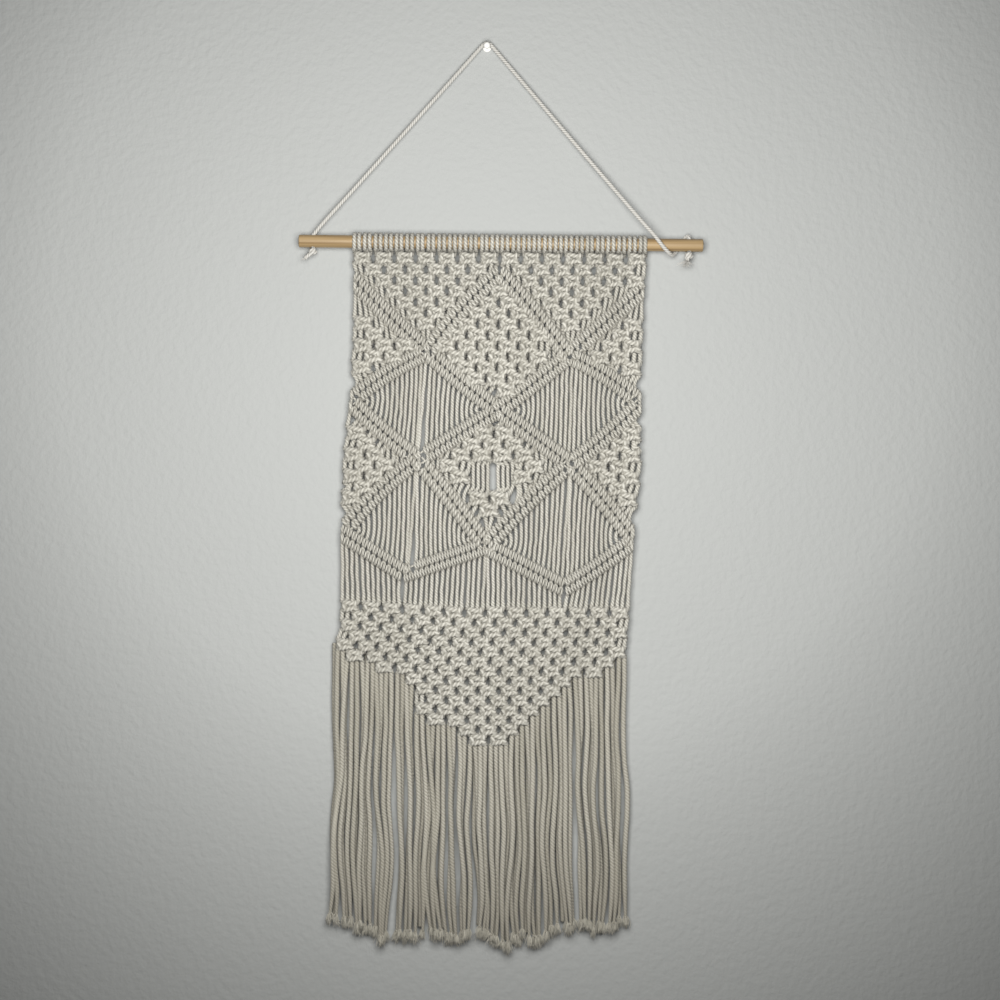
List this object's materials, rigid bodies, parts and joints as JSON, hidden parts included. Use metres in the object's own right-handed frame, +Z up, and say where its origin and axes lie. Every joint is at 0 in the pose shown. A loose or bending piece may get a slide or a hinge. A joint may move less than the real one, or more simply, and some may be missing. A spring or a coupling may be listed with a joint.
{
  "type": "macrame wall hanging with dowel and wall pin",
  "caption": "Knotted cotton panel with a diamond lattice and a fringed pointed hem, on a wooden dowel hung by a cord from a wall pin",
  "frame": {"origin": "middle of the wall pin's flat back, on the wall's surface", "axes": "+X right along the dowel, +Y into the wall, +Z up"},
  "size_m": [0.4042, 0.0226, 0.9141],
  "materials": {
    "wood": "smooth bare pine",
    "pin": "white, slightly glossy",
    "hanger": "twisted off-white cotton cord",
    "cotton": "natural three-ply twisted cotton cord, knotted",
    "fringe": "natural three-ply twisted cotton cord, hanging loose with frayed ends"
  },
  "bodies": {
    "root": {"dowel": "wood", "wall_pin": "pin", "hanger_cord": "hanger", "hanger_knot_left": "hanger", "hanger_knot_right": "hanger", "heading": "cotton", "macrame_panel": "cotton", "fringe": "fringe"}
  },
  "joints": []
}
